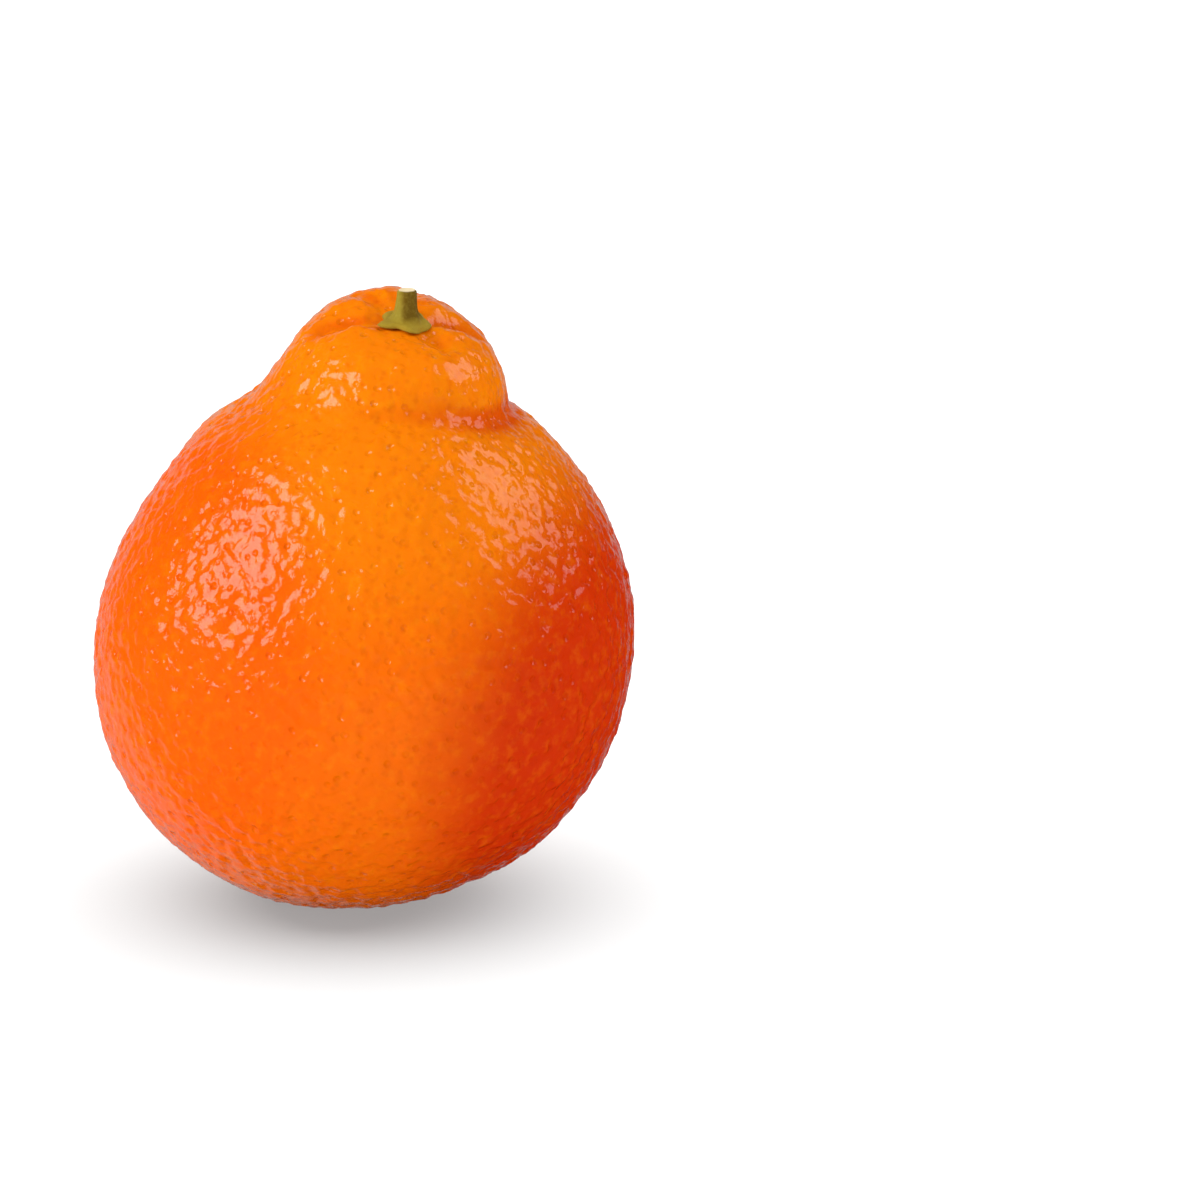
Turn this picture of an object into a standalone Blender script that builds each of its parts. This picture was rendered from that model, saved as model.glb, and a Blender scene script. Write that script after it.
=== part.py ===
"""A necked mandarin orange with its cut stem, standing on its blossom end. Metres, +Z up.

The fruit is one solid: a round body, a folded neck with a shallow well, and a pitted rind.
The stem is a second one: a cut stub that flares into a five-lobed calyx over the well.
Right is +X, and the side that faces the viewer is -Y.
"""
import math

import bmesh
import bpy
import numpy as np
from mathutils import Vector, noise

# Body: a round fruit, 80 mm across, a little longer along an axis that leans to the right.
BODY_CENTRE_Z = 0.0380
BODY_LONG = 0.0410
BODY_SHORT = 0.0392
BODY_DEEP = 0.0396
BODY_LEAN = math.radians(46.0)

# The shoulder swells a little around the foot of the neck.
SHOULDER_SWELL = 0.0010
SHOULDER_ANGLE = math.radians(34.0)
SHOULDER_SPREAD = math.radians(12.0)

# The blossom end is flatter than the rest of the body, most of all a little to the right.
BLOSSOM_FLATTENING = 0.0016
BLOSSOM_ANGLE = math.radians(12.0)
BLOSSOM_SPREAD = math.radians(32.0)
FOOT_ROUNDING = 0.0004

# Neck: a rounded knob, 35 mm wide, right of the middle, with a top that slants to the front.
NECK_X = 0.0044
NECK_Y = -0.0005
NECK_Z = 0.0740
NECK_RADIUS = 0.0171
NECK_RISE = 0.0170
NECK_SQUARENESS = 2.15
NECK_SLANT = 0.16

# The neck meets the shoulder in a tight crease at the right and in a soft hollow at the left.
CREASE_TIGHT = 0.0012
CREASE_SOFT = 0.0086
CREASE_DIRECTION = math.radians(-12.0)

# The stem stands right of the middle of the neck and towards its front, in a shallow well.
STEM_X = 0.0067
STEM_Y = -0.0042
WELL_RADIUS = 0.0088
WELL_DEPTH = 0.0058
WELL_RAISED = 0.0030
WELL_ROUNDING = 0.0016

# Folds run out from the stem: direction in degrees, depth, half width and how far they reach.
FOLDS = (
    (176.0, 0.0022, 0.0024, 0.0160),
    (132.0, 0.0014, 0.0016, 0.0140),
    (84.0, 0.0009, 0.0018, 0.0140),
    (26.0, 0.0018, 0.0020, 0.0140),
    (-36.0, 0.0018, 0.0018, 0.0100),
    (-108.0, 0.0004, 0.0030, 0.0120),
)
FOLD_START = 0.0010
FOLD_RUN_IN = 0.0030
FOLD_FADE = 0.5

# Soft lobes swell the neck between the folds, and fill or flatten the body: place, size, height.
NECK_LOBES = (
    ((0.0150, -0.0110, 0.0800), 0.0060, 0.0012),
    ((0.0105, -0.0145, 0.0830), 0.0055, 0.0014),
    ((0.0110, -0.0080, 0.0900), 0.0060, -0.0013),
    ((0.0145, 0.0030, 0.0890), 0.0060, -0.0009),
    ((0.0000, -0.0150, 0.0815), 0.0070, 0.0014),
)
BODY_LOBES = (
    ((0.0080, -0.0190, 0.0730), 0.0120, 0.0024),
    ((-0.0080, -0.0170, 0.0720), 0.0120, 0.0016),
    ((-0.0200, 0.0070, 0.0720), 0.0070, 0.0006),
    ((-0.0350, 0.0000, 0.0590), 0.0160, -0.0006),
    ((0.0240, 0.0000, 0.0080), 0.0120, 0.0009),
)

# Rind: irregular pits all over, larger than life, with none on the foot or under the calyx.
NET_STEPS = 24
PIT_SPACING = 0.0046
PIT_RADIUS = 0.0016
PIT_DEPTH = 0.00045
FOOT_CLEAR = 0.0004
FOOT_FADE = 0.0020
WELL_CLEAR = 0.0050
WELL_FADE = 0.0030

# Stem: a cut stub, 2.6 mm thick, that flares into a calyx with five unequal pointed lobes.
STEM_GAP = 0.0003
STUB_RADIUS = 0.00130
STUB_HEIGHT = 0.0050
STUB_RIM = 0.00016
STUB_LEAN = 0.06
STUB_RINGS = 5
FLARE_SPREAD = 0.0020
FLARE_REACH = 0.00125
FLARE_FOOT = 0.0009
FLARE_RADIUS = 0.0026
CALYX_THICKNESS = 0.0007
CALYX_EDGE = 0.0003
CALYX_NOTCH = 0.0031
CALYX_LOBES = (0.0008, 0.0007, 0.0006, 0.0009, 0.0016)
CALYX_TURN = math.radians(-74.0)
STEM_SIDES = 40

# Colours of the materials, as linear red, green and blue.
RIND_COLOUR = (0.95, 0.19, 0.005)
STEM_COLOUR = (0.30, 0.24, 0.03)

# How the skin is searched for: along rays from the middle, or straight down on the neck.
RAY_START = 0.015
RAY_END = 0.075
HALVINGS = 34
MERIDIAN_STEPS = 181
MERIDIANS = 24
NORMAL_STEP = 0.0004


def smooth_min(a, b, reach):
    """The smaller of two distances, rounded off over the reach where they cross."""
    blend = np.clip(0.5 + 0.5 * (b - a) / reach, 0.0, 1.0)
    return b + (a - b) * blend - reach * blend * (1.0 - blend)


def smooth_max(a, b, reach):
    return -smooth_min(-a, -b, reach)


def smooth_step(value, low, high):
    t = np.clip((value - low) / (high - low), 0.0, 1.0)
    return t * t * (3.0 - 2.0 * t)


def body_distance(points):
    """The leaning ellipsoid, with its swollen shoulder and flattened blossom end."""
    x, y, z = points[..., 0], points[..., 1], points[..., 2] - BODY_CENTRE_Z
    along = x * math.sin(BODY_LEAN) + z * math.cos(BODY_LEAN)
    across = x * math.cos(BODY_LEAN) - z * math.sin(BODY_LEAN)
    ratio = np.sqrt((along / BODY_LONG) ** 2 + (across / BODY_SHORT) ** 2 + (y / BODY_DEEP) ** 2)
    reach = np.sqrt(x * x + y * y + z * z)
    from_top = np.arccos(np.clip(z / reach, -1.0, 1.0))
    blossom = x * math.sin(BLOSSOM_ANGLE) - z * math.cos(BLOSSOM_ANGLE)
    from_blossom = np.arccos(np.clip(blossom / reach, -1.0, 1.0))
    swell = SHOULDER_SWELL * np.exp(-((from_top - SHOULDER_ANGLE) / SHOULDER_SPREAD) ** 2)
    flattening = BLOSSOM_FLATTENING * np.exp(-(from_blossom / BLOSSOM_SPREAD) ** 2)
    return (ratio - 1.0) * BODY_DEEP - swell + flattening


def fold_depth(x, y):
    """How far the folds draw the neck in at a point, given from the foot of the stem."""
    depth = np.zeros_like(x)
    for degrees, deepest, half_width, reach in FOLDS:
        angle = math.radians(degrees)
        along = x * math.cos(angle) + y * math.sin(angle)
        across = y * math.cos(angle) - x * math.sin(angle)
        run_in = smooth_step(along, FOLD_START, FOLD_START + FOLD_RUN_IN)
        run_out = 1.0 - smooth_step(along, FOLD_FADE * reach, reach)
        depth += deepest * np.exp(-(across / half_width) ** 2) * run_in * run_out
    return depth


def lobe_height(points, lobes):
    """How far soft round lobes lift the surface."""
    height = np.zeros_like(points[..., 0])
    for place, size, highest in lobes:
        away = np.linalg.norm(points - np.array(place), axis=-1)
        height += highest * np.exp(-(away / size) ** 2)
    return height


def fruit_distance(points):
    """Below zero inside the fruit, above zero outside it."""
    x, y = points[..., 0] - NECK_X, points[..., 1] - NECK_Y
    rise = points[..., 2] - NECK_Z - NECK_SLANT * y
    power = NECK_SQUARENESS
    round_ratio = np.hypot(x, y) / NECK_RADIUS
    ratio = (round_ratio ** power + (np.abs(rise) / NECK_RISE) ** power) ** (1.0 / power)
    stem_x, stem_y = points[..., 0] - STEM_X, points[..., 1] - STEM_Y
    neck = (ratio - 1.0) * NECK_RISE + fold_depth(stem_x, stem_y) - lobe_height(points, NECK_LOBES)
    softness = 0.5 - 0.5 * np.cos(np.arctan2(y, x) - CREASE_DIRECTION)
    crease = CREASE_TIGHT + (CREASE_SOFT - CREASE_TIGHT) * softness
    shoulder = body_distance(points) - lobe_height(points, BODY_LOBES)
    whole = smooth_min(shoulder, neck, crease)
    well_ratio = np.hypot(stem_x, stem_y) / WELL_RADIUS
    well_rise = (rise - NECK_RISE - WELL_RAISED) / WELL_DEPTH
    well = np.hypot(well_ratio, well_rise) - 1.0
    whole = smooth_max(whole, -well * WELL_DEPTH, WELL_ROUNDING)
    return smooth_max(whole, -points[..., 2], FOOT_ROUNDING)


def skin_point(starts, directions):
    """Where lines that start inside the fruit leave it, by repeated halving."""
    near = np.full(len(starts), RAY_START)
    far = np.full(len(starts), RAY_END)
    for _ in range(HALVINGS):
        middle = (near + far) / 2.0
        inside = fruit_distance(starts + directions * middle[:, None]) < 0.0
        near = np.where(inside, middle, near)
        far = np.where(inside, far, middle)
    return starts + directions * near[:, None]


def skin_around(directions):
    """Where rays from the middle of the body leave the fruit."""
    starts = np.tile([0.0, 0.0, BODY_CENTRE_Z], (len(directions), 1))
    return skin_point(starts, directions)


def skin_height(x, y):
    """The height of the neck's top over each place."""
    starts = np.stack([x, y, np.full_like(x, BODY_CENTRE_Z)], axis=1)
    return skin_point(starts, np.tile([0.0, 0.0, 1.0], (len(x), 1)))[:, 2]


def outward(points):
    """The direction straight out of the skin at each point."""
    slope = np.empty_like(points)
    for axis in range(3):
        step = np.zeros(3)
        step[axis] = NORMAL_STEP
        slope[:, axis] = fruit_distance(points + step) - fruit_distance(points - step)
    return slope / np.linalg.norm(slope, axis=1)[:, None]


def spread_evenly(directions):
    """Directions tilted so that equal angles become equal lengths of skin from pole to pole."""
    polar = np.linspace(0.0, math.pi, MERIDIAN_STEPS)
    length = np.zeros(MERIDIAN_STEPS)
    for turn in np.linspace(0.0, 2.0 * math.pi, MERIDIANS, endpoint=False):
        across = np.sin(polar)
        rays = np.stack([across * math.cos(turn), across * math.sin(turn), np.cos(polar)], axis=1)
        steps = np.linalg.norm(np.diff(skin_around(rays), axis=0), axis=1)
        length[1:] += np.cumsum(steps)
    wanted = np.arccos(np.clip(directions[:, 2], -1.0, 1.0))
    tilt = np.interp(wanted, length * math.pi / length[-1], polar)
    turn = np.arctan2(directions[:, 1], directions[:, 0])
    across = np.sin(tilt)
    return np.stack([across * np.cos(turn), across * np.sin(turn), np.cos(tilt)], axis=1)


def even_net():
    """A ball of even triangles: a 20-sided solid with each side split into a triangular grid."""
    net = bmesh.new()
    bmesh.ops.create_icosphere(net, subdivisions=1, radius=1.0)
    cuts = NET_STEPS - 1
    bmesh.ops.subdivide_edges(net, edges=net.edges[:], cuts=cuts, use_grid_fill=True)
    return net


def pit_depth(points):
    """How deep the rind is pitted at each point: most at the seeds of a cell pattern."""
    cells = [noise.voronoi(Vector(point) / PIT_SPACING)[0][0] for point in points]
    shape = np.exp(-(np.array(cells) * PIT_SPACING / PIT_RADIUS) ** 2)
    off_foot = smooth_step(points[:, 2], FOOT_CLEAR, FOOT_CLEAR + FOOT_FADE)
    from_stem = np.hypot(points[:, 0] - STEM_X, points[:, 1] - STEM_Y)
    off_calyx = smooth_step(from_stem, WELL_CLEAR, WELL_CLEAR + WELL_FADE)
    off_calyx[points[:, 2] < NECK_Z] = 1.0
    return PIT_DEPTH * shape * off_foot * off_calyx


def finish_object(name, mesh_data, material):
    """Turn a bmesh into a named object with its material, shaded smooth."""
    bmesh.ops.recalc_face_normals(mesh_data, faces=mesh_data.faces[:])
    mesh = bpy.data.meshes.new(name)
    mesh_data.to_mesh(mesh)
    mesh_data.free()
    mesh.shade_smooth()
    mesh.materials.append(material)
    made = bpy.data.objects.new(name, mesh)
    bpy.context.collection.objects.link(made)
    return made


def make_material(name, colour, roughness):
    material = bpy.data.materials.new(name)
    material.use_nodes = True
    shader = material.node_tree.nodes["Principled BSDF"]
    shader.inputs["Base Color"].default_value = (*colour, 1.0)
    shader.inputs["Roughness"].default_value = roughness
    shader.inputs["Metallic"].default_value = 0.0
    material.diffuse_color = (*colour, 1.0)
    return material


def make_fruit():
    """The whole fruit, with its neck, folds and pits, on a flat foot."""
    net = even_net()
    ball = np.array([point.co.normalized()[:] for point in net.verts])
    skin = skin_around(spread_evenly(ball))
    skin -= outward(skin) * pit_depth(skin)[:, None]
    for point, place in zip(net.verts, skin):
        point.co = place
    return finish_object("fruit", net, make_material("waxed_rind", RIND_COLOUR, 0.35))


def calyx_reach(turn):
    """How far the calyx reaches in a direction: far at its five points, less in its notches."""
    share = (turn - CALYX_TURN) * len(CALYX_LOBES) / (2.0 * math.pi)
    nearest = np.round(share).astype(int) % len(CALYX_LOBES)
    wave = np.cos(math.pi * (share - np.round(share)))
    return CALYX_NOTCH + np.array(CALYX_LOBES)[nearest] * wave ** 2


def make_stem():
    """The cut stub and its calyx, one turned form whose rings follow the floor of the well."""
    turn = np.arange(STEM_SIDES) * 2.0 * math.pi / STEM_SIDES
    reach = calyx_reach(turn)
    foot = skin_height(np.array([STEM_X]), np.array([STEM_Y]))[0] + STEM_GAP
    top = foot + STUB_HEIGHT
    # Rings from the cut end down the stub and over the calyx: radius, height, share of the floor.
    rings = [
        (STUB_RADIUS - STUB_RIM, top, 0.0),
        (STUB_RADIUS, top - STUB_RIM, 0.0),
    ]
    for rise in np.linspace(STUB_HEIGHT, FLARE_FOOT, STUB_RINGS + 1)[1:]:
        radius = STUB_RADIUS + FLARE_SPREAD * math.exp(-rise / FLARE_REACH)
        rings.append((radius, foot + rise, 0.0))
    rings += [
        (FLARE_RADIUS, CALYX_THICKNESS, 1.0),
        (reach * 0.80, CALYX_THICKNESS * 0.8, 1.0),
        (reach * 0.95, CALYX_EDGE, 1.0),
        (reach, CALYX_EDGE * 0.5, 1.0),
        (reach * 0.95, 0.0, 1.0),
        (reach * 0.75, 0.0, 1.0),
        (reach * 0.50, 0.0, 1.0),
        (reach * 0.25, 0.0, 1.0),
    ]
    stem = bmesh.new()
    loops = []
    for radius, height, on_floor in rings:
        x = STEM_X + radius * np.cos(turn)
        y = STEM_Y + radius * np.sin(turn)
        if on_floor:
            z = skin_height(x, y) + STEM_GAP + height
        else:
            z = np.full(STEM_SIDES, height)
            x = x + STUB_LEAN * (height - foot)
        loops.append([stem.verts.new(place) for place in zip(x, y, z)])
    for upper, lower in zip(loops, loops[1:]):
        for index in range(STEM_SIDES):
            following = (index + 1) % STEM_SIDES
            stem.faces.new((upper[index], upper[following], lower[following]))
            stem.faces.new((upper[index], lower[following], lower[index]))
    cut_end = stem.verts.new((STEM_X + STUB_LEAN * STUB_HEIGHT, STEM_Y, top))
    under = stem.verts.new((STEM_X, STEM_Y, foot))
    for index in range(STEM_SIDES):
        following = (index + 1) % STEM_SIDES
        stem.faces.new((cut_end, loops[0][following], loops[0][index]))
        stem.faces.new((under, loops[-1][index], loops[-1][following]))
    return finish_object("stem", stem, make_material("green_bark", STEM_COLOUR, 0.6))


def main():
    for old in list(bpy.data.objects):
        bpy.data.objects.remove(old, do_unlink=True)
    make_fruit()
    make_stem()


main()
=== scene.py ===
import math

import bmesh
import bpy
import numpy as np
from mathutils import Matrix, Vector, kdtree, noise


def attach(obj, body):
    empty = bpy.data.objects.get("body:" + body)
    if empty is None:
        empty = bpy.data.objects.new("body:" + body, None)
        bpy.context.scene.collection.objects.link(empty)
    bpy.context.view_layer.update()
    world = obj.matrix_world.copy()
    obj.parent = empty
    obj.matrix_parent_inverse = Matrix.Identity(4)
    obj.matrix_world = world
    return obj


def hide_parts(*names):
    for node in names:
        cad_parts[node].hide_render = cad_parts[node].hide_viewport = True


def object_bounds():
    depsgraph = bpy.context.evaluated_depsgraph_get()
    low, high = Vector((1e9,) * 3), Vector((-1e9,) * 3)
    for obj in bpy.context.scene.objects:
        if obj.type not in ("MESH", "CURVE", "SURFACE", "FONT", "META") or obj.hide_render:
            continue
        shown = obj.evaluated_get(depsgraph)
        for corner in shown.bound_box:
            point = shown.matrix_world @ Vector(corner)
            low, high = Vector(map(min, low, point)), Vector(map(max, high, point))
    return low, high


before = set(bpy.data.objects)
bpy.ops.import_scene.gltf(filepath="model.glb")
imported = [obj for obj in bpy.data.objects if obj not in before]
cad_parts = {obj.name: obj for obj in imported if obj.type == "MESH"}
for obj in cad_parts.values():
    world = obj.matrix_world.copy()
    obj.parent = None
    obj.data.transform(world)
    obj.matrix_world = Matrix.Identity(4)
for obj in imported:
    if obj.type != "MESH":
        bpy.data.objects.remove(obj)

cadLow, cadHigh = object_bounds()
mm = 0.001

# The body of the fruit, its leaning long axis, its shoulder and its flatter blossom end
body = dict(
    centreZ=38.0 * mm,
    halfLong=41.0 * mm,
    halfShort=39.2 * mm,
    halfDeep=39.6 * mm,
    lean=math.radians(46.0),
    shoulderSwell=1.0 * mm,
    shoulderAngle=math.radians(34.0),
    shoulderSpread=math.radians(12.0),
    flattening=1.6 * mm,
    flatAngle=math.radians(12.0),
    flatSpread=math.radians(32.0),
    footRounding=0.4 * mm,
    # soft lobes that fill or flatten the body: place, size, height
    lobes=(
        ((8.0, -19.0, 73.0), 12.0, 2.4),
        ((-8.0, -17.0, 72.0), 12.0, 1.6),
        ((-20.0, 7.0, 72.0), 7.0, 0.6),
        ((-35.0, 0.0, 59.0), 16.0, -0.6),
        ((24.0, 0.0, 8.0), 12.0, 0.9),
    ),
)

# The knob at the top, the crease where it meets the shoulder, and the well that holds the stem
neck = dict(
    x=4.4 * mm,
    y=-0.5 * mm,
    z=74.0 * mm,
    radius=17.1 * mm,
    rise=17.0 * mm,
    squareness=2.15,
    slant=0.16,
    creaseTight=1.2 * mm,
    creaseSoft=8.6 * mm,
    creaseDirection=math.radians(-12.0),
    stemX=6.7 * mm,
    stemY=-4.2 * mm,
    wellRadius=8.8 * mm,
    wellDepth=5.8 * mm,
    wellRaised=3.0 * mm,
    wellRounding=1.6 * mm,
    # folds that run out from the stem: direction in degrees, depth, half width, reach
    folds=(
        (176.0, 2.2, 2.4, 16.0),
        (132.0, 1.4, 1.6, 14.0),
        (84.0, 0.9, 1.8, 14.0),
        (26.0, 1.8, 2.0, 14.0),
        (-36.0, 1.8, 1.8, 10.0),
        (-108.0, 0.4, 3.0, 12.0),
    ),
    foldStart=1.0 * mm,
    foldRunIn=3.0 * mm,
    foldFade=0.5,
    # lobes that swell or sink between the folds: place, size, height
    lobes=(
        ((15.0, -11.0, 80.0), 6.0, 1.2),
        ((10.5, -14.5, 83.0), 5.5, 1.4),
        ((11.0, -8.0, 90.0), 6.0, -1.3),
        ((14.5, 3.0, 89.0), 6.0, -0.9),
        ((0.0, -15.0, 81.5), 7.0, 1.4),
    ),
)

# The rind's own relief: oil gland pits, the soft waves between them, and the painted shade in its creases
rind = dict(
    netSteps=98,             # 192,000 triangles, about 0.5 mm each
    pitCount=3400,           # about 2.7 mm apart
    pitRadius=(0.65 * mm, 1.00 * mm),
    pitDepth=(0.10 * mm, 0.26 * mm),
    pitShift=0.42,           # how far a pit strays, in shares of their spacing
    waveSize=2.0 * mm,
    waveHeight=0.28 * mm,
    waveOctaves=2,
    swellSize=15.0 * mm,
    swellHeight=0.30 * mm,
    swellOctaves=1,
    # painted shade: the creases, the well round the stem and a band under the knob are coloured darker and
    # redder
    creaseWidth=4.0 * mm,    # how near two sides of a fold must be to shade each other
    creaseGain=2.6,          # how much of that shade shows
    creaseBand=2.2 * mm,     # half width of the redder band under the knob
    creaseRunOut=2.5,        # how soon that band fades away from the tight side
    footClear=0.3 * mm,      # the flat foot stays smooth up to here, then the relief sets in
    footFade=1.2 * mm,
    seed=7,
)

# How the skin is found along lines from inside the fruit, and its slope
search = dict(
    nearest=15.0 * mm,
    farthest=75.0 * mm,
    halvings=30,
    slopeStep=0.3 * mm,
    spreadRows=361,          # samples from pole to pole, and around, that even out the net
    spreadTurns=24,
)


def smoothMin(a, b, reach):
    blend = np.clip(0.5 + 0.5 * (b - a) / reach, 0.0, 1.0)
    return b + (a - b) * blend - reach * blend * (1.0 - blend)


def smoothMax(a, b, reach):
    return -smoothMin(-a, -b, reach)


def smoothStep(value, low, high):
    t = np.clip((value - low) / (high - low), 0.0, 1.0)
    return t * t * (3.0 - 2.0 * t)


def bodyDistance(points):
    x, y, z = points[..., 0], points[..., 1], points[..., 2] - body["centreZ"]
    along = x * math.sin(body["lean"]) + z * math.cos(body["lean"])
    across = x * math.cos(body["lean"]) - z * math.sin(body["lean"])
    ratio = np.sqrt((along / body["halfLong"]) ** 2 + (across / body["halfShort"]) ** 2
                    + (y / body["halfDeep"]) ** 2)
    reach = np.sqrt(x * x + y * y + z * z)
    fromTop = np.arccos(np.clip(z / reach, -1.0, 1.0))
    blossom = x * math.sin(body["flatAngle"]) - z * math.cos(body["flatAngle"])
    fromBlossom = np.arccos(np.clip(blossom / reach, -1.0, 1.0))
    offShoulder = (fromTop - body["shoulderAngle"]) / body["shoulderSpread"]
    swell = body["shoulderSwell"] * np.exp(-offShoulder ** 2)
    flattening = body["flattening"] * np.exp(-(fromBlossom / body["flatSpread"]) ** 2)
    return (ratio - 1.0) * body["halfDeep"] - swell + flattening


def foldDepth(x, y):
    depth = np.zeros_like(x)
    for degrees, deepest, halfWidth, reach in neck["folds"]:
        angle = math.radians(degrees)
        along = x * math.cos(angle) + y * math.sin(angle)
        across = y * math.cos(angle) - x * math.sin(angle)
        runIn = smoothStep(along, neck["foldStart"], neck["foldStart"] + neck["foldRunIn"])
        runOut = 1.0 - smoothStep(along, neck["foldFade"] * reach * mm, reach * mm)
        depth += deepest * mm * np.exp(-(across / (halfWidth * mm)) ** 2) * runIn * runOut
    return depth


def lobeHeight(points, lobes):
    height = np.zeros_like(points[..., 0])
    for place, size, highest in lobes:
        away = np.linalg.norm(points - np.array(place) * mm, axis=-1)
        height += highest * mm * np.exp(-(away / (size * mm)) ** 2)
    return height


def shoulderDistance(points):
    return bodyDistance(points) - lobeHeight(points, body["lobes"])


def knobDistance(points):
    x, y = points[..., 0] - neck["x"], points[..., 1] - neck["y"]
    rise = points[..., 2] - neck["z"] - neck["slant"] * y
    power = neck["squareness"]
    roundRatio = np.hypot(x, y) / neck["radius"]
    ratio = (roundRatio ** power + (np.abs(rise) / neck["rise"]) ** power) ** (1.0 / power)
    stemX, stemY = points[..., 0] - neck["stemX"], points[..., 1] - neck["stemY"]
    return (ratio - 1.0) * neck["rise"] + foldDepth(stemX, stemY) - lobeHeight(points, neck["lobes"])


# How open the crease under the knob is: zero where it is tightest, one on the far side
def creaseOpenness(points):
    turn = np.arctan2(points[..., 1] - neck["y"], points[..., 0] - neck["x"])
    return 0.5 - 0.5 * np.cos(turn - neck["creaseDirection"])


# Below zero inside the fruit, above zero outside it
def fruitDistance(points):
    crease = neck["creaseTight"] + (neck["creaseSoft"] - neck["creaseTight"]) * creaseOpenness(points)
    whole = smoothMin(shoulderDistance(points), knobDistance(points), crease)
    stemX, stemY = points[..., 0] - neck["stemX"], points[..., 1] - neck["stemY"]
    rise = points[..., 2] - neck["z"] - neck["slant"] * (points[..., 1] - neck["y"])
    wellRatio = np.hypot(stemX, stemY) / neck["wellRadius"]
    wellRise = (rise - neck["rise"] - neck["wellRaised"]) / neck["wellDepth"]
    well = np.hypot(wellRatio, wellRise) - 1.0
    whole = smoothMax(whole, -well * neck["wellDepth"], neck["wellRounding"])
    return smoothMax(whole, -points[..., 2], body["footRounding"])


# Painted shade: one in the creases and folds of the neck, nothing on open skin
def creaseShade(skin):
    shift = rind["creaseWidth"]
    near = skin + outward(skin) * shift
    closed = 1.0 - fruitDistance(near) / shift
    fromMeeting = (shoulderDistance(skin) - knobDistance(skin)) / rind["creaseBand"]
    underKnob = np.exp(-fromMeeting ** 2) * (1.0 - creaseOpenness(skin)) ** rind["creaseRunOut"]
    return np.clip(closed * rind["creaseGain"] + underKnob, 0.0, 1.0)


# Where lines that start inside the fruit leave it, found by halving
def skinPoint(starts, directions):
    near = np.full(len(starts), search["nearest"])
    far = np.full(len(starts), search["farthest"])
    for _ in range(search["halvings"]):
        middle = (near + far) / 2.0
        inside = fruitDistance(starts + directions * middle[:, None]) < 0.0
        near = np.where(inside, middle, near)
        far = np.where(inside, far, middle)
    return starts + directions * near[:, None]


def skinAround(directions):
    starts = np.tile([0.0, 0.0, body["centreZ"]], (len(directions), 1))
    return skinPoint(starts, directions)


def skinHeight(x, y):
    starts = np.stack([x, y, np.full_like(x, body["centreZ"])], axis=1)
    return skinPoint(starts, np.tile([0.0, 0.0, 1.0], (len(x), 1)))[:, 2]


def outward(points):
    slope = np.empty_like(points)
    for axis in range(3):
        step = np.zeros(3)
        step[axis] = search["slopeStep"]
        slope[:, axis] = fruitDistance(points + step) - fruitDistance(points - step)
    return slope / np.linalg.norm(slope, axis=1)[:, None]


# Tilts directions so that equal angles become equal lengths of skin from pole to pole
def spreadEvenly(directions):
    polar = np.linspace(0.0, math.pi, search["spreadRows"])
    length = np.zeros(len(polar))
    for turn in np.linspace(0.0, 2.0 * math.pi, search["spreadTurns"], endpoint=False):
        across = np.sin(polar)
        rays = np.stack([across * math.cos(turn), across * math.sin(turn), np.cos(polar)], axis=1)
        length[1:] += np.cumsum(np.linalg.norm(np.diff(skinAround(rays), axis=0), axis=1))
    wanted = np.arccos(np.clip(directions[:, 2], -1.0, 1.0))
    tilt = np.interp(wanted, length * math.pi / length[-1], polar)
    turn = np.arctan2(directions[:, 1], directions[:, 0])
    across = np.sin(tilt)
    return np.stack([across * np.cos(turn), across * np.sin(turn), np.cos(tilt)], axis=1)


# Pits spread over the skin on a sunflower spiral, each a little off its place
def scatterPits():
    draw = np.random.default_rng(rind["seed"])
    count = rind["pitCount"]
    step = np.arange(count) + 0.5
    z = 1.0 - 2.0 * step / count
    turn = step * math.pi * (3.0 - math.sqrt(5.0))
    across = np.sqrt(1.0 - z * z)
    places = np.stack([across * np.cos(turn), across * np.sin(turn), z], axis=1)
    spacing = math.sqrt(4.0 * math.pi / count)
    places += draw.uniform(-1.0, 1.0, places.shape) * spacing * rind["pitShift"]
    places /= np.linalg.norm(places, axis=1)[:, None]
    radius = draw.uniform(*rind["pitRadius"], count)
    depth = draw.uniform(*rind["pitDepth"], count)
    return skinAround(spreadEvenly(places)), radius, depth


def noiseAt(points, size, octaves):
    return np.array([noise.fractal(Vector(p) / size, 1.0, 2.0, octaves) for p in points])


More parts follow.
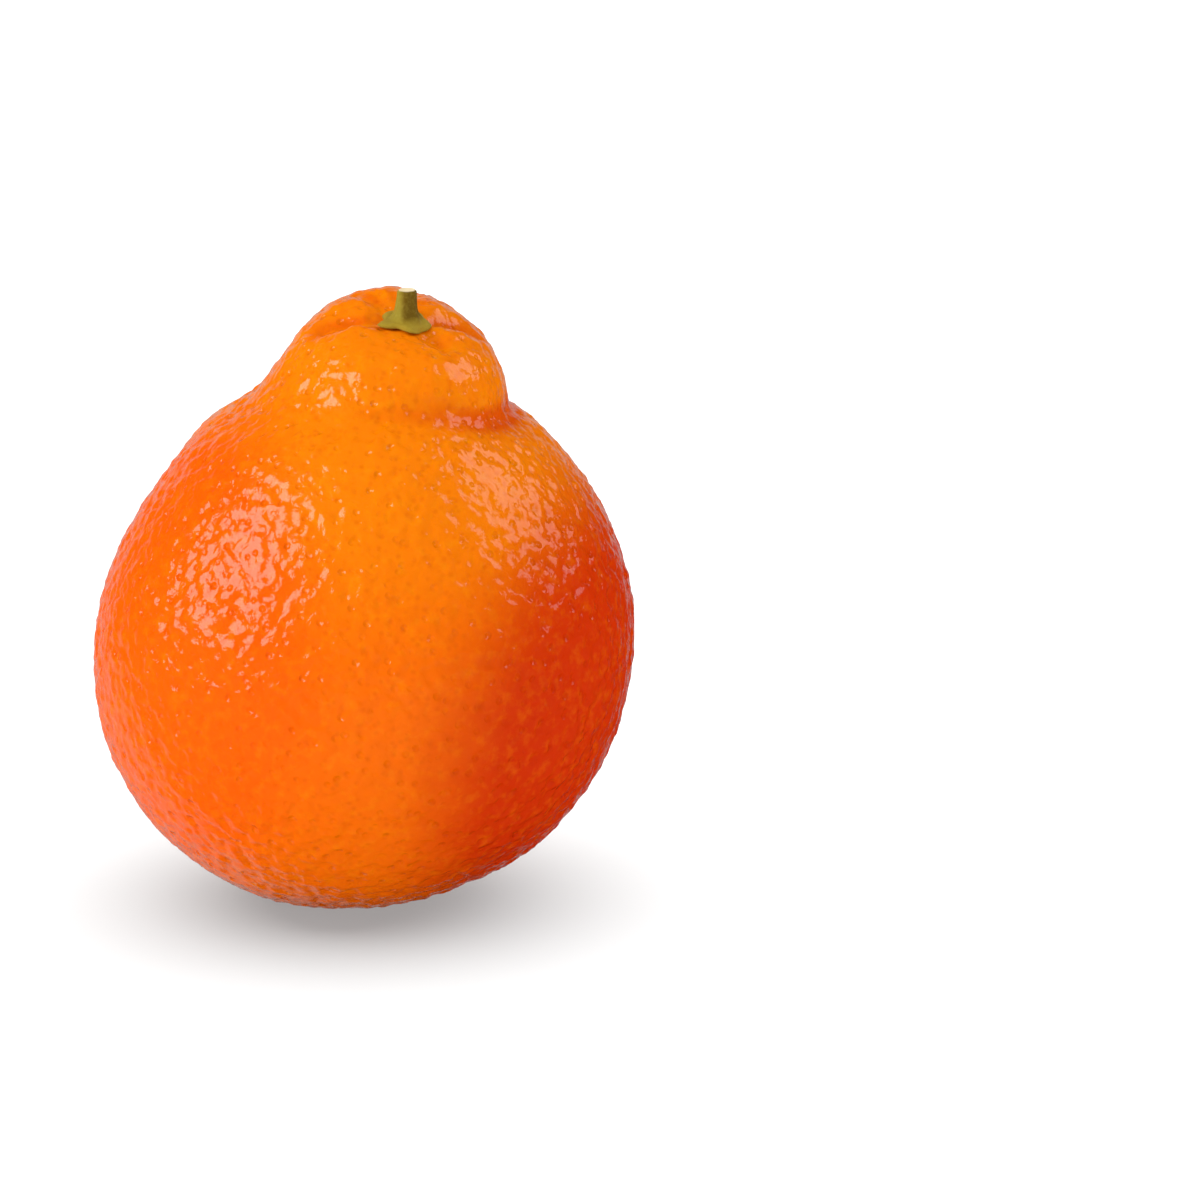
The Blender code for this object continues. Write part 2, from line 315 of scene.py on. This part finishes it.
def makeFruit():
    net = bmesh.new()
    bmesh.ops.create_icosphere(net, subdivisions=1, radius=1.0)
    cuts = rind["netSteps"] - 1
    bmesh.ops.subdivide_edges(net, edges=net.edges[:], cuts=cuts, use_grid_fill=True)
    mesh = bpy.data.meshes.new("wholeFruit")
    net.to_mesh(mesh)
    net.free()
    ball = np.empty(len(mesh.vertices) * 3)
    mesh.vertices.foreach_get("co", ball)
    ball = ball.reshape(-1, 3)
    ball /= np.linalg.norm(ball, axis=1)[:, None]
    skin = skinAround(spreadEvenly(ball))
    out = outward(skin)
    crease = creaseShade(skin)

    pits, radius, depth = scatterPits()
    tree = kdtree.KDTree(len(pits))
    for index, place in enumerate(pits):
        tree.insert(place, index)
    tree.balance()
    pitted = np.zeros(len(skin))
    for index, place in enumerate(skin):
        for _, pit, distance in tree.find_range(place, rind["pitRadius"][1]):
            if distance < radius[pit]:
                pitted[index] += depth[pit] * (1.0 - (distance / radius[pit]) ** 2) ** 2

    waves = noiseAt(skin, rind["waveSize"], rind["waveOctaves"])
    swells = noiseAt(skin + 0.5, rind["swellSize"], rind["swellOctaves"])
    offFoot = smoothStep(skin[:, 2], rind["footClear"], rind["footClear"] + rind["footFade"])
    relief = pitted - rind["waveHeight"] * waves - rind["swellHeight"] * swells
    skin -= out * (relief * offFoot)[:, None]
    skin = np.clip(skin, cadLow, cadHigh)
    mesh.vertices.foreach_set("co", skin.ravel())
    # painted shade for the rind's colour, darker and redder in the creases
    mesh.attributes.new("creaseShade", "FLOAT", "POINT").data.foreach_set("value", crease)
    mesh.shade_smooth()
    mesh.update()
    made = bpy.data.objects.new("wholeFruit", mesh)
    bpy.context.collection.objects.link(made)
    return made


# The cut stub and the calyx under it, in one turned form that follows the floor of the well
stem = dict(
    gap=0.3 * mm,
    stubRadius=1.30 * mm,
    stubHeight=5.0 * mm,
    rim=0.16 * mm,
    lean=0.06,
    flareSpread=2.0 * mm,
    flareReach=1.25 * mm,
    flareFoot=0.9 * mm,
    flareRadius=2.6 * mm,
    thickness=0.7 * mm,
    edge=0.3 * mm,
    notch=3.1 * mm,
    lobes=(0.8 * mm, 0.7 * mm, 0.6 * mm, 0.9 * mm, 1.6 * mm),
    turn=math.radians(-74.0),
    sides=144,
    stubRings=26,
    leafRings=7,
    # rings on the cut end, and under the calyx, in shares of their reach
    cutShares=(0.2, 0.5, 0.8),
    underShares=(0.95, 0.75, 0.5, 0.25),
    ribs=8,
    ribWander=1.5,
    ribHeight=0.07 * mm,
    cutDish=0.12 * mm,
    waveSize=1.1 * mm,
    waveHeight=0.10 * mm,
    # what each ring is: 0 on the cut end, 1 on the stub, 2 at the edge of the calyx
    cutTone=0.0,
    rimTone=0.2,
    barkTone=1.0,
    flareTone=1.7,
    leafTone=2.0,
    ribTones=(0.5, 1.9),
)


def calyxReach(turn):
    share = (turn - stem["turn"]) * len(stem["lobes"]) / (2.0 * math.pi)
    nearest = np.round(share).astype(int) % len(stem["lobes"])
    wave = np.cos(math.pi * (share - np.round(share)))
    return stem["notch"] + np.array(stem["lobes"])[nearest] * wave ** 2


def makeStem():
    turn = np.arange(stem["sides"]) * 2.0 * math.pi / stem["sides"]
    reach = calyxReach(turn)
    foot = skinHeight(np.array([neck["stemX"]]), np.array([neck["stemY"]]))[0] + stem["gap"]
    top = foot + stem["stubHeight"]
    # each ring: radius, height, whether it follows the floor of the well, and its tone
    rings = []
    for share in stem["cutShares"]:
        dish = stem["cutDish"] * (1.0 - share ** 2)
        rings.append((stem["stubRadius"] * share, top - dish, False, stem["cutTone"]))
    rings.append((stem["stubRadius"] - stem["rim"], top, False, stem["rimTone"]))
    rings.append((stem["stubRadius"], top - stem["rim"], False, stem["barkTone"]))
    for rise in np.linspace(stem["stubHeight"] - 2.0 * stem["rim"], stem["flareFoot"], stem["stubRings"]):
        flare = math.exp(-rise / stem["flareReach"])
        radius = stem["stubRadius"] + stem["flareSpread"] * flare
        rings.append((radius, foot + rise, False, stem["barkTone"] + flare))
    rings.append((stem["flareRadius"], stem["thickness"], True, stem["flareTone"]))
    for share in np.linspace(0.0, 1.0, stem["leafRings"] + 1)[1:]:
        radius = stem["flareRadius"] + (reach - stem["flareRadius"]) * share
        thick = stem["thickness"] + (0.5 * stem["edge"] - stem["thickness"]) * share ** 3
        tone = stem["flareTone"] + (stem["leafTone"] - stem["flareTone"]) * share
        rings.append((radius, thick, True, tone))
    for share in stem["underShares"]:
        rings.append((reach * share, 0.0, True, stem["leafTone"]))
    piece = bmesh.new()
    loops = []
    tones = []
    ribs = stem["ribHeight"] * np.cos(stem["ribs"] * turn + stem["ribWander"] * np.sin(2.0 * turn))
    for radius, height, onFloor, tone in rings:
        ribbed = radius + ribs * (stem["ribTones"][0] <= tone < stem["ribTones"][1])
        x = neck["stemX"] + ribbed * np.cos(turn)
        y = neck["stemY"] + ribbed * np.sin(turn)
        if onFloor:
            z = skinHeight(x, y) + stem["gap"] + height
        else:
            z = np.full(len(turn), height)
            x = x + stem["lean"] * (height - foot)
        loops.append([piece.verts.new(place) for place in zip(x, y, z)])
        tones += [tone] * len(turn)
    count = len(turn)
    for upper, lower in zip(loops, loops[1:]):
        for index in range(count):
            following = (index + 1) % count
            piece.faces.new((upper[index], upper[following], lower[following], lower[index]))
    piece.faces.new(loops[0])
    piece.faces.new(list(reversed(loops[-1])))
    bmesh.ops.recalc_face_normals(piece, faces=piece.faces[:])
    mesh = bpy.data.meshes.new("cutStem")
    piece.to_mesh(mesh)
    piece.free()
    for vertex, tone in zip(mesh.vertices, tones):
        if tone > stem["ribTones"][0] and vertex.co.z < top - 2.0 * stem["rim"]:
            lift = noise.noise(vertex.co / stem["waveSize"]) * stem["waveHeight"]
            vertex.co += vertex.normal * max(lift, -0.5 * stem["gap"])
    mesh.attributes.new("barkTone", "FLOAT", "POINT").data.foreach_set("value", tones)
    mesh.shade_smooth()
    made = bpy.data.objects.new("cutStem", mesh)
    bpy.context.collection.objects.link(made)
    return made


def linearColour(hexValue):
    channels = [int(hexValue[place:place + 2], 16) / 255.0 for place in (1, 3, 5)]
    linear = [c / 12.92 if c <= 0.04045 else ((c + 0.055) / 1.055) ** 2.4 for c in channels]
    return (*linear, 1.0)


def addNode(tree, kind, settings=(), links=()):
    node = tree.nodes.new(kind)
    for name, value in dict(settings).items():
        if isinstance(name, int) or name in node.inputs:
            node.inputs[name].default_value = value
        else:
            setattr(node, name, value)
    for name, source in dict(links).items():
        tree.links.new(source, node.inputs[name])
    return node


def newMaterial(name):
    material = bpy.data.materials.new(name)
    material.use_nodes = True
    material.node_tree.nodes.clear()
    return material, material.node_tree


# Fresh mandarin rind under its own wax: glossy deep orange, yellower around the neck, redder on its left
# cheek, darker red on the lower right (partly a blush, partly painted shade), painted shade in its creases,
# faint darker oil glands and a dry brown scar at the blossom end
def waxedRind():
    look = dict(
        orange="#F96B00",
        crown="#F97F00",
        crownFrom=0.15,          # how far up the golden crown starts and is full
        crownFull=0.80,
        cheeksBlushAndShade=(                 # direction, edge, full, strength, colour
            ((-0.86, -0.44, 0.14), 0.46, 0.74, 1.0, "#F95E00"),
            # darker red on the lower right: partly a blush, partly painted shade
            ((0.91, -0.25, -0.26), 0.39, 0.81, 1.0, "#D23000"),
        ),
        wander=0.14,             # how far the cheeks' edges stray
        wanderSize=6.0 * mm,
        # painted shade: darker, redder colour laid into the creases and folds of the neck and under the knob
        crease="#E24E00",
        creaseShadeTint=0.9,
        gland="#DA5000",
        glandSize=1.45 * mm,
        glandRange=(0.44, 0.06),  # from its edge to its middle, in shares of its size
        glandTint=0.50,
        mottle="#FF8A00",
        mottleSize=1.9 * mm,
        mottleRange=(0.50, 0.80),
        mottleTint=0.22,
        scar="#6A4A22",
        scarRadius=2.4 * mm,
        poreSpacing=2.2 * mm,    # the mouths of the larger glands, sunk into the skin
        poreFloor=0.04,          # flat middle of a pore, as a share of the spacing
        poreRadius=0.6 * mm,
        poreDepth=0.24 * mm,
        grainSize=1.4 * mm,      # the skin between them rises and falls softly
        grainHeight=0.20 * mm,
        roughness=0.13,
        ior=1.45,
        depth=0.08,              # how much light goes under the skin, and how far of each colour
        depthReach=(2.0 * mm, 0.6 * mm, 0.1 * mm),
    )
    material, tree = newMaterial("waxedRind")
    place = addNode(tree, "ShaderNodeTexCoord").outputs["Object"]
    away = addNode(tree, "ShaderNodeVectorMath",
                   {"operation": "SUBTRACT", 1: (0.0, 0.0, body["centreZ"])}, {0: place})
    heading = addNode(tree, "ShaderNodeVectorMath", {"operation": "NORMALIZE"}, {0: away.outputs[0]})
    up = addNode(tree, "ShaderNodeSeparateXYZ", links={0: heading.outputs[0]})
    wander = addNode(tree, "ShaderNodeTexNoise",
                     {"Scale": 1.0 / look["wanderSize"], "Detail": 4.0, "Roughness": 0.6}, {"Vector": place})
    rise = addNode(tree, "ShaderNodeMath", {"operation": "MULTIPLY_ADD", 1: look["wander"]},
                   {0: wander.outputs["Fac"], 2: up.outputs["Z"]})
    crown = addNode(tree, "ShaderNodeMapRange",
                    {"interpolation_type": "SMOOTHSTEP", "From Min": look["crownFrom"],
                     "From Max": look["crownFull"]}, {"Value": rise.outputs[0]})
    tone = addNode(tree, "ShaderNodeMix",
                   {"data_type": "RGBA", 6: linearColour(look["orange"]), 7: linearColour(look["crown"])},
                   {0: crown.outputs["Result"]}).outputs[2]
    # a redder blush on the left; on the lower right a darker red that is partly blush and partly painted
    # shade
    for direction, edge, full, strength, colour in look["cheeksBlushAndShade"]:
        facing = addNode(tree, "ShaderNodeVectorMath",
                         {"operation": "DOT_PRODUCT", 1: tuple(Vector(direction).normalized())},
                         {0: heading.outputs[0]})
        strayed = addNode(tree, "ShaderNodeMath", {"operation": "MULTIPLY_ADD", 1: look["wander"]},
                          {0: wander.outputs["Fac"], 2: facing.outputs["Value"]})
        cheek = addNode(tree, "ShaderNodeMapRange",
                        {"interpolation_type": "SMOOTHSTEP", "From Min": edge + 0.5 * look["wander"],
                         "From Max": full + 0.5 * look["wander"], "To Max": strength},
                        {"Value": strayed.outputs[0]})
        tone = addNode(tree, "ShaderNodeMix", {"data_type": "RGBA", 7: linearColour(colour)},
                       {0: cheek.outputs["Result"], 6: tone}).outputs[2]
    # painted shade in the creases of the neck, darker and redder
    crease = addNode(tree, "ShaderNodeAttribute", {"attribute_name": "creaseShade"})
    deep = addNode(tree, "ShaderNodeMath", {"operation": "MULTIPLY", 1: look["creaseShadeTint"]},
                   {0: crease.outputs["Fac"]})
    tone = addNode(tree, "ShaderNodeMix", {"data_type": "RGBA", 7: linearColour(look["crease"])},
                   {0: deep.outputs[0], 6: tone}).outputs[2]
    # soft lighter mottling between the glands
    patches = addNode(tree, "ShaderNodeTexNoise",
                      {"Scale": 1.0 / look["mottleSize"], "Detail": 3.0, "Roughness": 0.6}, {"Vector": place})
    mottle = addNode(tree, "ShaderNodeMapRange",
                     {"From Min": look["mottleRange"][0], "From Max": look["mottleRange"][1],
                      "To Max": look["mottleTint"]}, {"Value": patches.outputs["Fac"]})
    tone = addNode(tree, "ShaderNodeMix",
                   {"data_type": "RGBA", "blend_type": "SCREEN", 7: linearColour(look["mottle"])},
                   {0: mottle.outputs["Result"], 6: tone}).outputs[2]
    # oil glands seen through the skin
    cells = addNode(tree, "ShaderNodeTexVoronoi", {"Scale": 1.0 / look["glandSize"]}, {"Vector": place})
    spot = addNode(tree, "ShaderNodeMapRange",
                   {"interpolation_type": "SMOOTHSTEP", "From Min": look["glandRange"][0],
                    "From Max": look["glandRange"][1], "To Max": look["glandTint"]},
                   {"Value": cells.outputs["Distance"]})
    faint = addNode(tree, "ShaderNodeMath", {"operation": "MULTIPLY"},
                    {0: spot.outputs["Result"], 1: patches.outputs["Fac"]})
    tone = addNode(tree, "ShaderNodeMix", {"data_type": "RGBA", 7: linearColour(look["gland"])},
                   {0: faint.outputs[0], 6: tone}).outputs[2]
    # the blossom scar, on the middle of the foot
    fromFoot = addNode(tree, "ShaderNodeVectorMath", {"operation": "LENGTH"}, {0: place})
    scar = addNode(tree, "ShaderNodeMapRange",
                   {"interpolation_type": "SMOOTHSTEP", "From Min": look["scarRadius"],
                    "From Max": 0.5 * look["scarRadius"]}, {"Value": fromFoot.outputs["Value"]})
    tone = addNode(tree, "ShaderNodeMix", {"data_type": "RGBA", 7: linearColour(look["scar"])},
                   {0: scar.outputs["Result"], 6: tone}).outputs[2]
    # pores sunk into the skin, over its own soft grain
    pores = addNode(tree, "ShaderNodeTexVoronoi", {"Scale": 1.0 / look["poreSpacing"]}, {"Vector": place})
    rim = addNode(tree, "ShaderNodeMapRange",
                  {"From Min": look["poreFloor"], "From Max": look["poreRadius"] / look["poreSpacing"]},
                  {"Value": pores.outputs["Distance"]})
    sunk = addNode(tree, "ShaderNodeBump", {"Strength": 1.0, "Distance": look["poreDepth"]},
                   {"Height": rim.outputs["Result"]})
    grain = addNode(tree, "ShaderNodeTexNoise",
                    {"Scale": 1.0 / look["grainSize"], "Detail": 2.0, "Roughness": 0.4, "Distortion": 0.5},
                    {"Vector": place})
    relief = addNode(tree, "ShaderNodeBump", {"Strength": 1.0, "Distance": look["grainHeight"]},
                     {"Height": grain.outputs["Fac"], "Normal": sunk.outputs[0]})
    shader = addNode(tree, "ShaderNodeBsdfPrincipled",
                     {"Roughness": look["roughness"], "IOR": look["ior"], "Subsurface Weight": look["depth"],
                      "Subsurface Radius": look["depthReach"], "Subsurface Scale": 1.0},
                     {"Base Color": tone, "Normal": relief.outputs[0]})
    addNode(tree, "ShaderNodeOutputMaterial", links={"Surface": shader.outputs[0]})
    return material


# Green bark drying to olive: matt and grained along the stub, paler on the calyx, cream where cut;
# its left flank paler and greener, partly its own green and partly painted light
def greenBark():
    look = dict(
        cut="#F2DDB4",
        bark="#6C5200",
        # the left flank, paler and greener: partly its own green, partly painted light
        greenerLitFlank="#9A8626",       # the flank that still has its green
        flankRange=(0.1 * mm, -0.9 * mm),
        calyx="#A48822",
        barkRange=(0.2, 0.9),    # the tones over which the cut end turns to bark, and bark to calyx
        calyxRange=(1.35, 1.75),
        pale="#C4B04A",          # where the grain is worn
        paleRange=(0.48, 0.78),
        paleTint=0.25,
        grainSize=0.5 * mm,      # real bark grain is finer: as coarse as it needs to show
        grainHeight=0.05 * mm,
        roughness=0.75,
        ior=1.45,
        specular=0.2,            # dry bark mirrors little
    )
    material, tree = newMaterial("greenBark")
    place = addNode(tree, "ShaderNodeTexCoord").outputs["Object"]
    part = addNode(tree, "ShaderNodeAttribute", {"attribute_name": "barkTone"}).outputs["Fac"]
    grain = addNode(tree, "ShaderNodeTexNoise",
                    {"Scale": 1.0 / look["grainSize"], "Detail": 4.0, "Roughness": 0.65}, {"Vector": place})
    barked = addNode(tree, "ShaderNodeMapRange",
                     {"From Min": look["barkRange"][0], "From Max": look["barkRange"][1]}, {"Value": part})
    leafy = addNode(tree, "ShaderNodeMapRange",
                    {"From Min": look["calyxRange"][0], "From Max": look["calyxRange"][1]}, {"Value": part})
    worn = addNode(tree, "ShaderNodeMapRange",
                   {"From Min": look["paleRange"][0], "From Max": look["paleRange"][1],
                    "To Max": look["paleTint"]}, {"Value": grain.outputs["Fac"]})
    # painted light in part: the left flank of the stub paler and greener
    side = addNode(tree, "ShaderNodeSeparateXYZ", links={0: place})
    flank = addNode(tree, "ShaderNodeMapRange",
                    {"interpolation_type": "SMOOTHSTEP", "From Min": neck["stemX"] + look["flankRange"][0],
                     "From Max": neck["stemX"] + look["flankRange"][1]}, {"Value": side.outputs["X"]})
    tone = addNode(tree, "ShaderNodeMix",
                   {"data_type": "RGBA", 6: linearColour(look["bark"]), 7: linearColour(look["greenerLitFlank"])},
                   {0: flank.outputs["Result"]}).outputs[2]
    tone = addNode(tree, "ShaderNodeMix", {"data_type": "RGBA", 6: linearColour(look["cut"])},
                   {0: barked.outputs["Result"], 7: tone}).outputs[2]
    tone = addNode(tree, "ShaderNodeMix", {"data_type": "RGBA", 7: linearColour(look["calyx"])},
                   {0: leafy.outputs["Result"], 6: tone}).outputs[2]
    tone = addNode(tree, "ShaderNodeMix", {"data_type": "RGBA", 7: linearColour(look["pale"])},
                   {0: worn.outputs["Result"], 6: tone}).outputs[2]
    relief = addNode(tree, "ShaderNodeBump", {"Strength": 1.0, "Distance": look["grainHeight"]},
                     {"Height": grain.outputs["Fac"]})
    shader = addNode(tree, "ShaderNodeBsdfPrincipled",
                     {"Roughness": look["roughness"], "IOR": look["ior"],
                      "Specular IOR Level": look["specular"]},
                     {"Base Color": tone, "Normal": relief.outputs[0]})
    addNode(tree, "ShaderNodeOutputMaterial", links={"Surface": shader.outputs[0]})
    return material


print("making the fruit")
wholeFruit = makeFruit()
wholeFruit.data.materials.append(waxedRind())
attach(wholeFruit, "root")
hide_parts("fruit")
print("fruit triangles", len(wholeFruit.data.polygons))

print("making the stem")
cutStem = makeStem()
cutStem.data.materials.append(greenBark())
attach(cutStem, "root")
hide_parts("stem")

# A wide pale floor, lit white from above by a light of its own that reaches nothing else
stageLook = dict(
    floorHalf=6.0,
    floorColour="#606060",
    floorGlow=0.32,
    topGlow=0.96,
    topAngle=130.0,              # wide, so that the shadow is soft
    topLean=(3.0, 22.0),         # degrees by which the shadow leans to the left, and to the front
)


def makeFloor():
    half = stageLook["floorHalf"]
    mesh = bpy.data.meshes.new("paleFloor")
    corners = [(-half, -half, 0), (half, -half, 0), (half, half, 0), (-half, half, 0)]
    mesh.from_pydata(corners, [], [(0, 1, 2, 3)])
    floor = bpy.data.objects.new("paleFloor", mesh)
    bpy.context.collection.objects.link(floor)
    material, tree = newMaterial("matFloor")
    colour = linearColour(stageLook["floorColour"])
    shader = addNode(tree, "ShaderNodeBsdfPrincipled",
                     {"Base Color": colour, "Roughness": 1.0, "Specular IOR Level": 0.0,
                      "Emission Color": (1.0, 1.0, 1.0, 1.0), "Emission Strength": stageLook["floorGlow"]})
    addNode(tree, "ShaderNodeOutputMaterial", links={"Surface": shader.outputs[0]})
    mesh.materials.append(material)
    floor.visible_glossy = False
    light = bpy.data.lights.new("topLight", "SUN")
    light.angle = math.radians(stageLook["topAngle"])
    light.energy = stageLook["topGlow"] * math.pi / colour[0]
    made = bpy.data.objects.new("topLight", light)
    toLeft, toFront = (math.radians(degrees) for degrees in stageLook["topLean"])
    made.rotation_euler = (-toFront, toLeft, 0.0)
    bpy.context.collection.objects.link(made)
    onlyFloor = bpy.data.collections.new("onlyFloor")
    onlyFloor.objects.link(floor)
    made.light_linking.receiver_collection = onlyFloor


# Softboxes: where each stands as seen from the fruit, its size and its brightness
softboxes = dict(
    left=dict(turn=-66.0, height=31.0, distance=0.8, width=0.50, tall=0.44, glow=4.8),
    right=dict(turn=101.0, height=36.0, distance=0.8, width=0.48, tall=0.44, glow=1.95),
)


def makeSoftbox(name, box):
    # turn is measured from the viewer's side, positive to the right
    turn, height = math.radians(box["turn"]), math.radians(box["height"])
    level = math.cos(height)
    away = Vector((math.sin(turn) * level, -math.cos(turn) * level, math.sin(height)))
    aim = Vector((0.0, 0.0, body["centreZ"]))
    light = bpy.data.lights.new(name, "AREA")
    light.shape = "RECTANGLE"
    light.size = box["width"]
    light.size_y = box["tall"]
    light.energy = box["glow"] * math.pi * box["width"] * box["tall"]
    made = bpy.data.objects.new(name, light)
    made.location = aim + away * box["distance"]
    made.rotation_euler = away.to_track_quat("Z", "Y").to_euler()
    bpy.context.collection.objects.link(made)


# The room: soft fill that is a little brighter from above and from the left, and for the gloss
# alone a white wall behind and a lit sweep of floor that runs down to the left
room = dict(
    fill=0.68,
    fillLean=(-0.05, 0.05, 0.12),
    # towards what, where its soft edge starts and ends (0 is sideways, 1 straight at it), glow
    whites=(
        ((-0.08, 0.93, -0.06), 0.72, 0.92, 0.50),
        ((-0.52, 0.64, -0.56), 0.82, 0.97, 0.40),
    ),
)


def makeRoom():
    world = bpy.data.worlds.new("whiteRoom")
    world.use_nodes = True
    tree = world.node_tree
    tree.nodes.clear()
    direction = addNode(tree, "ShaderNodeTexCoord").outputs["Generated"]
    lean = addNode(tree, "ShaderNodeVectorMath", {"operation": "DOT_PRODUCT", 1: room["fillLean"]},
                   {0: direction})
    fill = addNode(tree, "ShaderNodeMath", {"operation": "ADD", 1: room["fill"]}, {0: lean.outputs["Value"]})
    seen = []
    for towards, edge, full, brightness in room["whites"]:
        facing = addNode(tree, "ShaderNodeVectorMath", {"operation": "DOT_PRODUCT", 1: towards},
                         {0: direction})
        white = addNode(tree, "ShaderNodeMapRange",
                        {"interpolation_type": "SMOOTHSTEP", "From Min": edge, "From Max": full,
                         "To Max": brightness}, {"Value": facing.outputs["Value"]})
        seen.append(white.outputs["Result"])
    whites = addNode(tree, "ShaderNodeMath", {"operation": "MAXIMUM"}, {0: seen[0], 1: seen[1]})
    path = addNode(tree, "ShaderNodeLightPath")
    strength = addNode(tree, "ShaderNodeMix", {"data_type": "FLOAT"},
                       {0: path.outputs["Is Glossy Ray"], 2: fill.outputs[0], 3: whites.outputs[0]})
    glow = addNode(tree, "ShaderNodeBackground", {"Color": (1.0, 1.0, 1.0, 1.0)},
                   {"Strength": strength.outputs[0]})
    addNode(tree, "ShaderNodeOutputWorld", links={"Surface": glow.outputs[0]})
    bpy.context.scene.world = world


# The shot: its angle, and the pixel of the 1200 px picture where the middle of the body stands
shot = dict(elevation=16.0, distance=0.9, lens=182.0, sensor=36.0, picture=1200, bodyPixel=(364, 644))


def makeCamera():
    angle = math.radians(shot["elevation"])
    back = Vector((0.0, -math.cos(angle), math.sin(angle)))
    up = Vector((0.0, math.sin(angle), math.cos(angle)))
    right = Vector((1.0, 0.0, 0.0))
    pixel = shot["distance"] * shot["sensor"] / shot["lens"] / shot["picture"]
    middle = shot["picture"] / 2.0
    aim = Vector((0.0, 0.0, body["centreZ"]))
    aim += right * (middle - shot["bodyPixel"][0]) * pixel
    aim += up * (shot["bodyPixel"][1] - middle) * pixel
    data = bpy.data.cameras.new("shotCamera")
    data.lens = shot["lens"]
    data.sensor_width = shot["sensor"]
    camera = bpy.data.objects.new("shotCamera", data)
    camera.location = aim + back * shot["distance"]
    camera.rotation_euler = back.to_track_quat("Z", "Y").to_euler()
    bpy.context.collection.objects.link(camera)
    bpy.context.scene.camera = camera


print("setting the stage")
makeFloor()
for name, box in softboxes.items():
    makeSoftbox(name, box)
makeRoom()
makeCamera()
bpy.context.scene.view_settings.view_transform = "Standard"
